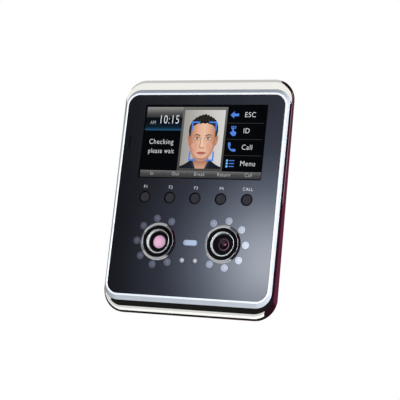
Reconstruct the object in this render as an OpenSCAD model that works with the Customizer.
// Wall-mounted face recognition terminal, in millimetres.
// The origin is the centre of the wall bracket's back face. +Z is up, and the front looks towards -Y.
// A "depth" is measured from the front panel's outer face towards the wall.

/* [Case] */
// Overall width, across the side band
case_w = 133.9; // [133.5:0.1:135]
// Overall height, across the side band
case_h = 176.4; // [176:0.1:178]
// Front panel's outer face to the wall
case_depth = 50; // [50:1:56]

/* [Front panel] */
// Width of the glossy front panel
panel_w = 124; // [123.6:0.1:124.4]
// Height of the glossy front panel
panel_h = 150.8; // [150.4:0.1:151.2]
// Thickness of the front panel
panel_t = 2; // [1.9:0.05:2]
// Corner radius of the front panel
panel_r = 8.5; // [7:0.5:9]

/* [Screen] */
// Width of a 4.3 inch display's active area
active_w = 95.04; // [94:0.02:95.04]
// Height of a 4.3 inch display's active area
active_h = 53.86; // [53:0.02:53.86]
// Centre of the screen to the right of the middle
screen_x = 0.5; // [0:0.1:0.5]
// Centre of the screen above the middle
screen_z = 39.7; // [39.5:0.1:39.8]

/* [Keys] */
// Distance from key to key
key_pitch = 20; // [18:0.5:20]
// Height of the row of keys
key_z = -3; // [-3.4:0.1:-2.6]
// Diameter of a key's face
key_d = 7; // [6.4:0.1:7.4]
// Diameter of the hole round a key
key_hole_d = 9; // [9:0.1:9.6]
// How far a key travels
key_travel = 0.5; // [0.3:0.1:0.5]

/* [Cameras] */
// Distance of each camera from the middle
camera_x = 25.1; // [25:0.1:25.4]
// Height of the cameras
camera_z = -35.8; // [-36:0.1:-35.6]
// Radius of the circle of infrared lamps round a camera
lamp_ring_r = 17.3; // [17.1:0.1:17.5]
// Angle between two lamps
lamp_step = 40; // [38:1:40]
// Diameter of a lamp's window
lamp_window_d = 5.9; // [5.6:0.1:5.9]

/* [Wall bracket] */
// Screw holes' spacing across, as on a two-gang wall box
hole_span_x = 46; // [44:0.5:48]
// Screw holes' spacing up and down, as on a two-gang wall box
hole_span_z = 83.3; // [82:0.1:84]
// Diameter of the screw holes
hole_d = 4.5; // [4:0.1:5]
// Width of the cable opening
cable_w = 36; // [30:1:38]
// Height of the cable opening
cable_h = 60; // [50:1:62]

/* [Hidden] */

round_fn = 64;
hull_fn = 32;
slip = 0.1;
skin = 0.02;
y_front = -case_depth;
mirrored = [-1, 1];

// Half sizes of the nested outlines, from the panel outwards
panel_hw = panel_w / 2;
panel_hh = panel_h / 2;
lip_w = 1.6;
lip_proud = 0.2;
bezel_hw = panel_hw + 2.8;
bezel_hh = panel_hh + 4.6;
bezel_r = panel_r + 3;
bezel_edge_d = 2.1;
ledge_t = 2;
ledge_in = 3;
skirt_hw = bezel_hw - 2.1;
skirt_hh = bezel_hh - 2.1;
skirt_t = 1.5;
skirt_end = 6;

// Side band: each row is [half width, half height, corner radius, depth at the middle, tilt]
band_hw = case_w / 2;
band_hh = case_h / 2;
band_tilt = 1.9;
band_rows = [
    [band_hw - 2.35, band_hh - 8.4, 11.3, 2.5, 0],
    [band_hw - 0.75, band_hh - 2.7, 14.5, 3.6, 0.7],
    [band_hw, band_hh, 16, 6.3, band_tilt],
    [band_hw - 0.35, band_hh - 0.6, 15.8, 9, band_tilt],
    [band_hw - 1.45, band_hh - 2.2, 15, 11.5, band_tilt]
];
band_end = 11.5;
seal_t = 0.4;

// Rear cover, in the same form, from the parting line to the wall
cover_start = band_end + seal_t;
cover_rows = [
    [band_hw - 2.65, band_hh - 3.6, 14.4, cover_start, band_tilt],
    [band_hw - 5.95, band_hh - 6.2, 14, 20, 1],
    [band_hw - 10.45, band_hh - 9.7, 13, 30, 0],
    [band_hw - 17.95, band_hh - 16.2, 11, case_depth - 4.5, 0],
    [band_hw - 20.35, band_hh - 18.6, 9.5, case_depth - 1, 0],
    [band_hw - 21.35, band_hh - 19.6, 8.5, case_depth - 0.4, 0]
];
cover_inner_rows = [
    [band_hw - 2.65, band_hh - 3.6, 14.4, cover_start - 0.5, band_tilt],
    cover_rows[1], cover_rows[2], cover_rows[3],
    [band_hw - 20.35, band_hh - 18.6, 9.5, case_depth - 2.4, 0]
];
cover_t = 2.2;
recess_hw = 41;
recess_low = -62;
recess_high = 61;
recess_d = case_depth - 6;
bay_hw = 33;
bay_low = -38;
bay_high = 22;
bay_d = 33;
bay_floor_t = 2;

// Depths of the layers behind the panel
touch_d = panel_t + 0.3;
touch_t = 1.2;
touch_hw = 51.2;
touch_hh = 30.8;
window_border = 1.25;
window_hw = active_w / 2 + window_border;
window_hh = active_h / 2 + window_border;
display_d = 3.6;
display_t = 1.4;
backlight_d = 5;
backlight_t = 2.5;
backlight_hw = 52.75;
backlight_hh = 33;
backlight_z = screen_z - 2.1;
chassis_d = 2.4;
chassis_t = 2;
front_board_d = 9.9;
board_t = 1.6;
camera_board_d = 12;
frame_d = 14.2;
frame_t = 1.5;
main_board_d = 21;
main_back_d = main_board_d + board_t;
bracket_t = 1.5;
bracket_d = case_depth - bracket_t;

// Keys
key_x = [for (i = [0:4]) (i - 2) * key_pitch];
collar_r = key_hole_d / 2 - 0.3;
flange_r = 5.4;
plunger_r = 1.75;
plunger_bore_r = plunger_r + 0.09;
switch_d = 6.4;
switch_w = 6;

// Cameras: radii of the nested rings
bezel_base_r = 13.9;
bezel_tip_r = 12.2;
bezel_tube_r = 12.6;
trim_r = 11.45;
funnel_r = 9;
barrel_r = 7.2;
lens_seat_r = 5.1;
lens_face_r = 3.7;
camera_proud = 1.2;
lamp_angles = [for (i = [-3:3]) i * lamp_step];
lamp_r = 2.5;

// Status light and small sensors
pill_w = 11.4;
pill_h = 4.2;
sensor_x = 5.1;
sensor_z = camera_z - 13.2;
sensor_r = 2.05;

// Speaker slot
slot_x = -57.5;
slot_low = 33;
slot_high = 43.5;
slot_w = 1;
slot_z = (slot_low + slot_high) / 2;

// Screws and the posts that take them
frame_screw_x = 50;
frame_screw_z = 74.2;
case_screw_x = 38;
case_screw_z = 58;
main_screw_x = 51;
main_screw_z = 35;
front_screw_x = 46.5;
front_screw_z = [key_z, -17, -57];
m25_r = 1.2;
m25_bore_r = 1.25;
m25_hole_r = 1.35;
m25_head_r = 2.1;
m3_r = 1.5;
m3_bore_r = 1.55;
m3_hole_r = 1.7;
m3_head_r = 2.8;
post_r = 3.6;
lock_d = case_depth - 3.6;

// Connectors in the rear bay: the two terminal blocks have ten ways each
jack_x = -6;
jack_z = 8;
usb_x = 12;
block_z = [-28, -12];
ways = 10;
way_pitch = 3.81;

// Parts on the main board
cell_x = -20;
cell_z = 43;
mic_x = 20;
mic_z = -76.5;
mic_d = main_back_d + 3;

// Tamper switch
tamper_z = 45;
tamper_r = 1.5;
tamper_gap = 0.3;

// Hooks of the wall bracket
hook_x = 30;
hook_w = 8;
hook_z = [-50, 48];
hook_lip = 6.5;
hook_front_d = recess_d - cover_t - 2;

// A flat layer: the outline is drawn in X and Z, and the layer lies between two depths
module layer(d1, d2) {
    translate([0, y_front + d2, 0]) rotate([90, 0, 0]) linear_extrude(d2 - d1) children();
}

// The same, leaning back about the X axis at its first depth
module leaning_layer(d1, d2, tilt) {
    translate([0, y_front + d1, 0]) rotate([tilt, 0, 0])
        translate([0, d2 - d1, 0]) rotate([90, 0, 0]) linear_extrude(d2 - d1) children();
}

// A solid of revolution about an axis along Y, from [radius, depth] points
module turned(x, z, points) {
    translate([x, y_front, z]) rotate([-90, 0, 0]) rotate_extrude($fn = round_fn) polygon(points);
}

// A round bar along Y between two depths
module bar(x, z, r, d1, d2) {
    translate([x, y_front + d1, z]) rotate([-90, 0, 0]) cylinder(r = r, h = d2 - d1, $fn = round_fn);
}

// A block between two depths, from its centre and half sizes
module block(x, z, hw, hh, d1, d2) {
    translate([x - hw, y_front + d1, z - hh]) cube([2 * hw, d2 - d1, 2 * hh]);
}

module rounded(hw, hh, r, fn = round_fn) {
    square([2 * (hw - r), 2 * hh], center = true);
    square([2 * hw, 2 * (hh - r)], center = true);
    for (sx = mirrored, sz = mirrored)
        translate([sx * (hw - r), sz * (hh - r)]) circle(r, $fn = fn);
}

module pill(w, h) {
    square([w - h, h], center = true);
    for (sx = mirrored) translate([sx * (w - h) / 2, 0]) circle(h / 2, $fn = round_fn);
}

// A closed shell form through rounded outlines; inset makes the same form smaller all round
module lofted(rows, inset = 0) {
    hull() for (row = rows)
        leaning_layer(row[3], row[3] + skin, row[4])
            rounded(row[0] - inset, row[1] - inset, row[2] - inset, hull_fn);
}

// Points of a shallow dome from its tip to its rim, for a turned profile
function dome(rim_r, tip_d, rim_d, steps = 8) =
    let (rise = rim_d - tip_d, big_r = (rim_r * rim_r + rise * rise) / (2 * rise), half = asin(rim_r / big_r))
    [for (i = [0:steps]) let (a = half * i / steps) [big_r * sin(a), tip_d + big_r * (1 - cos(a))]];

// Where the lamps stand round the two cameras, as [x, z]
lamp_places = [
    for (side = mirrored, a = lamp_angles)
        [side * (camera_x + lamp_ring_r * cos(a)), camera_z + lamp_ring_r * sin(a)]
];

module lamp_holes(r, d1, d2) {
    for (p = lamp_places) bar(p[0], p[1], r, d1, d2);
}

module four_bars(x, z, r, d1, d2) {
    for (sx = mirrored, sz = mirrored) bar(sx * x, sz * z, r, d1, d2);
}

module front_screw_bars(r, d1, d2) {
    for (sx = mirrored, z = front_screw_z) bar(sx * front_screw_x, z, r, d1, d2);
}

module front_panel() {
    color([0.07, 0.07, 0.09]) difference() {
        layer(0, panel_t) rounded(panel_hw, panel_hh, panel_r);
        layer(-1, panel_t + 1) translate([screen_x, screen_z]) rounded(window_hw, window_hh, 0.8);
        for (x = key_x) bar(x, key_z, key_hole_d / 2, -1, panel_t + 1);
        for (side = mirrored) bar(side * camera_x, camera_z, bezel_tube_r + 0.2, -1, panel_t + 1);
        for (side = mirrored) bar(side * sensor_x, sensor_z, sensor_r + slip, -1, panel_t + 1);
        lamp_holes(lamp_window_d / 2 + 0.05, -1, panel_t + 1);
        layer(-1, panel_t + 1) translate([0, camera_z]) pill(pill_w + 0.2, pill_h + 0.2);
        layer(-1, panel_t + 1) translate([slot_x, slot_z]) rotate(90) pill(slot_high - slot_low, slot_w);
    }
}

module front_bezel() {
    color([0.75, 0.78, 0.82]) difference() {
        union() {
            lofted([
                [panel_hw + lip_w, panel_hh + lip_w, panel_r + 1.5, -lip_proud, 0],
                [bezel_hw, bezel_hh, bezel_r, bezel_edge_d - skin, 0]
            ]);
            layer(bezel_edge_d - 1, skirt_end) rounded(skirt_hw, skirt_hh, bezel_r - 1.3);
        }
        layer(-1, panel_t + 0.2) rounded(panel_hw + slip, panel_hh + slip, panel_r + slip);
        layer(-1, panel_t + 5) rounded(panel_hw - ledge_in, panel_hh - ledge_in, panel_r - 2.5);
        layer(panel_t + 0.2 + ledge_t, skirt_end + 1)
            rounded(skirt_hw - skirt_t, skirt_hh - skirt_t, bezel_r - 2.8);
    }
    color([0.75, 0.78, 0.82]) difference() {
        four_bars(frame_screw_x, frame_screw_z, 3, panel_t + 0.2 + ledge_t, frame_d - 0.2);
        four_bars(frame_screw_x, frame_screw_z, m25_bore_r, 8, frame_d);
    }
}

module side_band() {
    color([0.86, 0.85, 0.84]) difference() {
        lofted(band_rows);
        layer(0, case_depth) rounded(skirt_hw + 0.2, skirt_hh + 0.2, bezel_r - 1.1);
        leaning_layer(5.6, case_depth / 2, 1) rounded(band_hw - 2.95, band_hh - 4, 13);
    }
}

module parting_seal() {
    color([0.08, 0.08, 0.09]) leaning_layer(band_end + skin, cover_start - skin, band_tilt) difference() {
        rounded(band_hw - 2.05, band_hh - 2.9, 14.7);
        rounded(band_hw - 3.15, band_hh - 4.2, 12.8);
    }
}

module panel_adhesive() {
    color([0.1, 0.1, 0.1]) layer(panel_t, panel_t + 0.2) difference() {
        rounded(panel_hw - 0.2, panel_hh - 0.2, panel_r - 0.2);
        rounded(panel_hw - ledge_in + 0.3, panel_hh - ledge_in + 0.3, panel_r - 2.2);
    }
}

module front_chassis() {
    color([0.2, 0.2, 0.21]) difference() {
        layer(chassis_d, chassis_d + chassis_t) rounded(panel_hw - 3.5, panel_hh - 3.2, 5);
        layer(0, case_depth) translate([screen_x, screen_z]) rounded(touch_hw + 0.3, touch_hh + 0.3, 0.5);
        for (x = key_x) bar(x, key_z, flange_r + 0.4, 0, 6);
        for (side = mirrored) bar(side * camera_x, camera_z, bezel_tube_r + 0.6, 0, 6);
        for (side = mirrored) bar(side * sensor_x, sensor_z, 3, 0, 6);
        lamp_holes(lamp_window_d / 2 + 0.25, 0, 6);
        layer(0, 6) translate([0, camera_z]) pill(pill_w + 2.6, pill_h + 2.6);
        block(slot_x, slot_z, 1, 5.8, 0, 6);
        four_bars(frame_screw_x, frame_screw_z, 3.4, 0, 6);
    }
}

module touch_panel() {
    color([0.05, 0.05, 0.06]) layer(touch_d, touch_d + touch_t)
        translate([screen_x, screen_z]) rounded(touch_hw, touch_hh, 0.4);
}

module lcd_gasket() {
    color([0.06, 0.06, 0.06]) layer(panel_t, touch_d) translate([screen_x, screen_z]) difference() {
        rounded(window_hw + 2, window_hh + 2, 2);
        rounded(window_hw + 0.4, window_hh + 0.4, 1);
    }
}

module display_panel() {
    color([0.15, 0.25, 0.4])
        block(screen_x, screen_z, active_w / 2 + 2.2, active_h / 2 + 2.4, display_d, display_d + display_t);
}

module display_backlight() {
    color([0.8, 0.8, 0.8])
        block(screen_x, backlight_z, backlight_hw, backlight_hh, backlight_d, backlight_d + backlight_t);
}

// The ribbon from the display to the main board, with its plug
module display_flex() {
    color([0.75, 0.45, 0.1]) {
        block(0, 10, 15, 0.2, backlight_d + backlight_t, main_board_d - 2);
        block(0, 10, 16.5, 2.5, main_board_d - 2, main_board_d);
    }
}

module key(i) {
    color([0.16, 0.17, 0.2]) turned(key_x[i], key_z, [
        [0, 0.1], [key_d / 2 - 0.25, 0.1], [key_d / 2, 0.35], [key_d / 2, 1.2],
        [collar_r, 1.2], [collar_r, panel_t + 0.3], [flange_r, panel_t + 0.3],
        [flange_r, 3.3], [1.6, 3.3], [1.6, 5.4], [0, 5.4]
    ]);
}

module plunger(i) {
    color([0.8, 0.2, 0.15]) bar(key_x[i], key_z, plunger_r, 5.4, 6.9);
}

module key_f1() { key(0); }
module key_f2() { key(1); }
module key_f3() { key(2); }
module key_f4() { key(3); }
module key_call() { key(4); }
module plunger_f1() { plunger(0); }
module plunger_f2() { plunger(1); }
module plunger_f3() { plunger(2); }
module plunger_f4() { plunger(3); }
module plunger_call() { plunger(4); }

module key_switches() {
    color([0.1, 0.1, 0.1]) for (x = key_x) difference() {
        block(x, key_z, switch_w / 2, switch_w / 2, switch_d, front_board_d);
        bar(x, key_z, plunger_bore_r, switch_d - 1, 7 + key_travel + slip);
    }
}

module key_board() {
    color([0.1, 0.3, 0.15]) difference() {
        block(0, key_z, front_screw_x + 3, 8, front_board_d, front_board_d + board_t);
        front_screw_bars(m25_hole_r, front_board_d - 1, front_board_d + board_t + 1);
    }
}

module camera_bezel(side) {
    color([0.9, 0.9, 0.9]) turned(side * camera_x, camera_z, [
        [trim_r + 0.05, 3.6], [trim_r + 0.05, -0.55], [bezel_tip_r - 0.3, -camera_proud],
        [bezel_tip_r, -camera_proud], [bezel_base_r - 0.15, -0.3], [bezel_base_r, 0],
        [bezel_tube_r, 0], [bezel_tube_r, 3.6]
    ]);
}

module camera_bezel_left() { camera_bezel(-1); }
module camera_bezel_right() { camera_bezel(1); }

module camera_trims() {
    color([0.03, 0.03, 0.03]) for (side = mirrored) turned(side * camera_x, camera_z, [
        [funnel_r + 0.05, 0.3], [trim_r, 0.15], [trim_r, 3.5], [barrel_r + 0.1, 3.5],
        [barrel_r + 0.1, 2.9], [funnel_r + 0.05, 2.9]
    ]);
}

module lens_rings() {
    color([0.9, 0.9, 0.9]) for (side = mirrored) turned(side * camera_x, camera_z, [
        [funnel_r, 2.9], [funnel_r, -0.6], [funnel_r - 0.3, -0.9], [funnel_r - 0.6, -0.9],
        [barrel_r + 0.1, 1], [barrel_r + 0.1, 2.9]
    ]);
}

module lens_barrel(side) {
    color([0.04, 0.04, 0.04]) turned(side * camera_x, camera_z, [
        [lens_seat_r, 1.9], [barrel_r, 1.9], [barrel_r, camera_board_d], [3.2, camera_board_d],
        [3.2, 4.5], [4.4, 4.5], [4.4, 3.5], [lens_seat_r, 3.5]
    ]);
}

module lens_barrel_left() { lens_barrel(-1); }
module lens_barrel_right() { lens_barrel(1); }

module ir_filter() {
    color([0.9, 0.6, 0.75]) turned(-camera_x, camera_z, [
        [0, 2.3], [lens_seat_r - 0.35, 2.3], [lens_seat_r - 0.05, 2.6], [lens_seat_r - 0.05, 3.4], [0, 3.4]
    ]);
}

module lens_left() {
    color([0.2, 0.15, 0.2])
        turned(-camera_x, camera_z, concat(dome(4.3, 3.45, 3.8), [[4.3, 4.45], [0, 4.45]]));
}

module lens_right() {
    color([0.1, 0.08, 0.12]) turned(camera_x, camera_z, concat(
        dome(lens_face_r, 1.3, 1.95),
        [[lens_seat_r - 0.05, 2.1], [lens_seat_r - 0.05, 3.4], [0, 3.4]]
    ));
}

module camera_boards() {
    color([0.1, 0.3, 0.15]) for (side = mirrored) {
        block(side * camera_x, camera_z, 13, 13, camera_board_d, camera_board_d + board_t);
        block(side * camera_x, camera_z, 2.1, 2.1, camera_board_d - 0.8, camera_board_d);
    }
}

module infrared_windows() {
    color([0.22, 0.2, 0.24]) lamp_holes(lamp_window_d / 2, skin, panel_t - 0.1);
}

module infrared_leds() {
    color([0.8, 0.8, 0.85]) for (p = lamp_places) turned(p[0], p[1], concat(
        dome(lamp_r, 2.6, 5), [[lamp_r, front_board_d], [0, front_board_d]]
    ));
}

module illuminator_board() {
    color([0.1, 0.3, 0.15]) difference() {
        block(0, -37, front_screw_x + 3, 24, front_board_d, front_board_d + board_t);
        for (side = mirrored)
            bar(side * camera_x, camera_z, barrel_r + 0.8, front_board_d - 1, front_board_d + board_t + 1);
        front_screw_bars(m25_hole_r, front_board_d - 1, front_board_d + board_t + 1);
    }
}

module status_light_pipe() {
    color([0.75, 0.8, 0.87]) {
        layer(0.05, panel_t + 0.1) translate([0, camera_z]) pill(pill_w, pill_h);
        layer(panel_t + 0.1, 3.2) translate([0, camera_z]) pill(pill_w + 2, pill_h + 2);
        layer(3.2, 8.4) translate([0, camera_z]) pill(pill_w - 2.4, pill_h - 1.6);
    }
}

module status_led() {
    color([0.9, 0.9, 0.8]) block(0, camera_z, 3, 1.5, 8.5, front_board_d);
}

module sensor_windows() {
    color([0.3, 0.3, 0.35]) for (side = mirrored) turned(side * sensor_x, sensor_z, concat(
        dome(sensor_r, -0.4, 0.1),
        [[sensor_r, panel_t + 0.1], [2.7, panel_t + 0.1], [2.7, 3], [1.5, 3], [1.5, 4.8], [0, 4.8]]
    ));
}

module proximity_sensors() {
    color([0.1, 0.1, 0.12])
        for (side = mirrored) block(side * sensor_x, sensor_z, 1.8, 1.8, 5, front_board_d);
}

// The inner frame: a plate with posts that carry the boards and take the case screws
module mid_frame() {
    color([0.55, 0.56, 0.58]) difference() {
        union() {
            layer(frame_d, frame_d + frame_t) rounded(56, 78, 8);
            four_bars(case_screw_x, case_screw_z, post_r, frame_d, 23.6);
            four_bars(main_screw_x, main_screw_z, 2.8, frame_d, main_board_d);
            front_screw_bars(2.4, front_board_d + board_t, frame_d);
        }
        four_bars(frame_screw_x, frame_screw_z, m25_hole_r, frame_d - 1, frame_d + frame_t + 1);
        four_bars(case_screw_x, case_screw_z, m3_bore_r, frame_d + frame_t + 0.5, 25);
        four_bars(main_screw_x, main_screw_z, m25_bore_r, frame_d + frame_t + 0.5, main_board_d + 1);
        front_screw_bars(m25_bore_r, front_board_d, frame_d + 1);
        block(0, 10, 17, 2, frame_d - 1, frame_d + frame_t + 1);
    }
}

module main_board() {
    color([0.1, 0.3, 0.15]) difference() {
        block(0, 0, 55, 70, main_board_d, main_back_d);
        four_bars(case_screw_x, case_screw_z, post_r + 0.4, main_board_d - 1, main_back_d + 1);
        four_bars(main_screw_x, main_screw_z, m25_hole_r, main_board_d - 1, main_back_d + 1);
    }
}

module processor_shield() {
    color([0.78, 0.78, 0.78]) difference() {
        block(21, 41, 13, 13, main_back_d, main_back_d + 4);
        block(21, 41, 12.7, 12.7, main_back_d - 1, main_back_d + 3.7);
    }
}

module ethernet_jack() {
    color([0.7, 0.7, 0.7]) difference() {
        block(jack_x, jack_z, 8, 7, main_back_d, 38);
        block(jack_x, jack_z + 0.5, 5.9, 3.4, 26, 39);
        block(jack_x, jack_z - 3.6, 3, 1.4, 30, 39);
    }
}

// Two rows of plug-in terminals
module terminal_blocks() {
    color([0.15, 0.45, 0.25]) for (z = block_z) difference() {
        block(0, z, ways * way_pitch / 2 + 0.5, 4.2, main_back_d, 36);
        for (i = [0:ways - 1]) let (x = (i - (ways - 1) / 2) * way_pitch) {
            block(x, z - 2, 1.3, 1.2, 29, 37);
            block(x, z + 2, 1.2, 1.2, 33, 37);
        }
    }
}

module usb_port() {
    color([0.7, 0.7, 0.7]) difference() {
        block(usb_x, jack_z, 3.2, 6.8, main_back_d, 37);
        block(usb_x, jack_z, 2.6, 6.2, 27, 38);
    }
    color([0.1, 0.1, 0.1]) block(usb_x + 0.9, jack_z, 0.9, 5.6, 27, 36);
}

module backup_cell() {
    color([0.8, 0.8, 0.78]) bar(cell_x, cell_z, 10, main_back_d + 0.8, main_back_d + 4);
    color([0.1, 0.1, 0.1]) block(cell_x, cell_z, 8, 8, main_back_d, main_back_d + 0.8);
}

module speaker() {
    color([0.1, 0.1, 0.1]) difference() {
        block(slot_x + 0.3, slot_z, 3.2, 12, 4.6, 9.8);
        block(slot_x + 0.3, slot_z, 2.4, 10, 4, 5.4);
    }
}

module speaker_mesh() {
    color([0.2, 0.2, 0.2]) block(slot_x, slot_z, 1.5, 6.5, panel_t + 0.05, chassis_d - 0.05);
}

module microphone() {
    color([0.7, 0.7, 0.7]) translate([mic_x, y_front + mic_d, mic_z])
        cylinder(r = 3, h = 6.5, $fn = round_fn);
}

module rf_antenna() {
    color([0.1, 0.3, 0.15]) block(0, -64, 45, 6, chassis_d + chassis_t, chassis_d + chassis_t + 1);
}

module tamper_switch() {
    color([0.1, 0.1, 0.1]) difference() {
        block(0, tamper_z, 3, 3, main_back_d, 26);
        bar(0, tamper_z, tamper_r + 0.09, 23.2, 27);
    }
}

module tamper_plunger() {
    color([0.85, 0.85, 0.82]) turned(0, tamper_z, [
        [0, 24.4], [tamper_r, 24.4], [tamper_r, bracket_d - tamper_gap - 0.5],
        [tamper_r - 0.5, bracket_d - tamper_gap], [0, bracket_d - tamper_gap]
    ]);
}

// What stays solid inside the rear cover: the recess floor, the connector bay and the lock screw's boss
module cover_inner_walls() {
    recess_z = (recess_low + recess_high) / 2;
    recess_hh = (recess_high - recess_low) / 2;
    bay_z = (bay_low + bay_high) / 2;
    bay_hh = (bay_high - bay_low) / 2;
    layer(recess_d - cover_t, case_depth)
        translate([0, recess_z]) rounded(recess_hw + cover_t, recess_hh + cover_t, 6 + cover_t);
    layer(bay_d - bay_floor_t, case_depth)
        translate([0, bay_z]) rounded(bay_hw + cover_t, bay_hh + cover_t, 2 + cover_t);
    four_bars(case_screw_x, case_screw_z, post_r + 0.2, 23.8, case_depth);
    block(0, recess_low - 5, 4.5, 6, recess_d - cover_t, case_depth);
}

// The hollows reached from the wall side
module cover_hollows() {
    recess_z = (recess_low + recess_high) / 2;
    bay_z = (bay_low + bay_high) / 2;
    layer(recess_d, case_depth + 1)
        translate([0, recess_z]) rounded(recess_hw, (recess_high - recess_low) / 2, 6);
    layer(bay_d, case_depth) translate([0, bay_z]) rounded(bay_hw, (bay_high - bay_low) / 2, 2);
    block(jack_x, jack_z, 8.4, 7.4, bay_d - 3, bay_d + 1);
    block(usb_x, jack_z, 3.6, 7.2, bay_d - 3, bay_d + 1);
    for (z = block_z) block(0, z, ways * way_pitch / 2 + 0.9, 4.6, bay_d - 3, bay_d + 1);
    for (sx = mirrored, z = hook_z)
        block(sx * hook_x, z - 2, hook_w / 2 + 0.4, 4, recess_d - cover_t - 1, recess_d + 1);
}

module rear_cover() {
    color([0.12, 0.12, 0.13]) difference() {
        union() {
            lofted(cover_rows);
            leaning_layer(cover_start - 2.5, cover_start + 0.3, band_tilt)
                rounded(band_hw - 3.55, band_hh - 4.6, 13.5);
        }
        leaning_layer(cover_start - 5, cover_start + 0.2, band_tilt)
            rounded(band_hw - 5.15, band_hh - 6.2, 11.9);
        difference() {
            lofted(cover_inner_rows, cover_t);
            cover_inner_walls();
        }
        cover_hollows();
        four_bars(case_screw_x, case_screw_z, m3_hole_r, 22, recess_d + 1);
        four_bars(case_screw_x, case_screw_z, m3_head_r + 0.3, recess_d - 2.6, recess_d + 1);
        bar(0, tamper_z, tamper_r + 0.09, recess_d - cover_t - 1, recess_d + 1);
        translate([0, y_front + lock_d, -67.4]) cylinder(r = m25_hole_r, h = 8, $fn = round_fn);
        translate([0, y_front + lock_d, -80]) cylinder(r = m25_head_r + 0.3, h = 12.6, $fn = round_fn);
        translate([mic_x, y_front + mic_d, -90]) cylinder(r = 0.8, h = 13, $fn = round_fn);
    }
}

module wall_bracket() {
    low = -56;
    high = 58;
    color([0.7, 0.71, 0.72]) difference() {
        union() {
            layer(bracket_d, case_depth) translate([0, (low + high) / 2]) rounded(38, (high - low) / 2, 3);
            for (sx = mirrored, z = hook_z) {
                block(sx * hook_x, z + bracket_t / 2, hook_w / 2, bracket_t / 2, hook_front_d, case_depth);
                block(sx * hook_x, z + hook_lip / 2, hook_w / 2, hook_lip / 2,
                      hook_front_d, hook_front_d + bracket_t);
            }
            block(0, low + bracket_t / 2, 7, bracket_t / 2, recess_d + 0.3, case_depth);
        }
        layer(bracket_d - 1, case_depth + 1) rounded(cable_w / 2, cable_h / 2, 3);
        four_bars(hole_span_x / 2, hole_span_z / 2, hole_d / 2, bracket_d - 1, case_depth + 1);
        translate([0, y_front + lock_d, low - 1]) cylinder(r = m25_bore_r, h = 4, $fn = round_fn);
    }
}

// A pan-head screw: its head lies between head_d and stop_d, and its shank runs from stop_d to tip_d
module screw(x, z, head_r, shank_r, head_d, stop_d, tip_d) {
    bar(x, z, head_r, min(head_d, stop_d), max(head_d, stop_d));
    bar(x, z, shank_r, min(stop_d, tip_d), max(stop_d, tip_d));
}

module case_screws() {
    color([0.5, 0.5, 0.52]) for (sx = mirrored, sz = mirrored)
        screw(sx * case_screw_x, sz * case_screw_z, m3_head_r, m3_r, recess_d - 0.6, recess_d - 2.6, 17);
}

module frame_screws() {
    color([0.5, 0.5, 0.52]) for (sx = mirrored, sz = mirrored)
        screw(sx * frame_screw_x, sz * frame_screw_z, m25_head_r, m25_r, frame_d + frame_t + 1.5,
            frame_d + frame_t, 8.6);
}

module board_screws() {
    color([0.5, 0.5, 0.52]) {
        for (sx = mirrored, sz = mirrored)
            screw(sx * main_screw_x, sz * main_screw_z, m25_head_r, m25_r,
                  main_back_d + 1.4, main_back_d, 17);
        for (sx = mirrored, z = front_screw_z)
            screw(sx * front_screw_x, z, m25_head_r, m25_r,
                  front_board_d - 1.2, front_board_d, frame_d + 0.6);
    }
}

module lock_screw() {
    color([0.5, 0.5, 0.52]) translate([0, y_front + lock_d, 0]) {
        translate([0, 0, -69.2]) cylinder(r = m25_head_r, h = 1.8, $fn = round_fn);
        translate([0, 0, -67.4]) cylinder(r = m25_r, h = 14.4, $fn = round_fn);
    }
}

front_panel();
front_bezel();
side_band();
parting_seal();
panel_adhesive();
front_chassis();
touch_panel();
lcd_gasket();
display_panel();
display_backlight();
display_flex();
key_f1();
key_f2();
key_f3();
key_f4();
key_call();
plunger_f1();
plunger_f2();
plunger_f3();
plunger_f4();
plunger_call();
key_switches();
key_board();
camera_bezel_left();
camera_bezel_right();
camera_trims();
lens_rings();
lens_barrel_left();
lens_barrel_right();
ir_filter();
lens_left();
lens_right();
camera_boards();
infrared_windows();
infrared_leds();
illuminator_board();
status_light_pipe();
status_led();
sensor_windows();
proximity_sensors();
mid_frame();
main_board();
processor_shield();
ethernet_jack();
terminal_blocks();
usb_port();
backup_cell();
speaker();
speaker_mesh();
microphone();
rf_antenna();
tamper_switch();
tamper_plunger();
rear_cover();
wall_bracket();
case_screws();
frame_screws();
board_screws();
lock_screw();
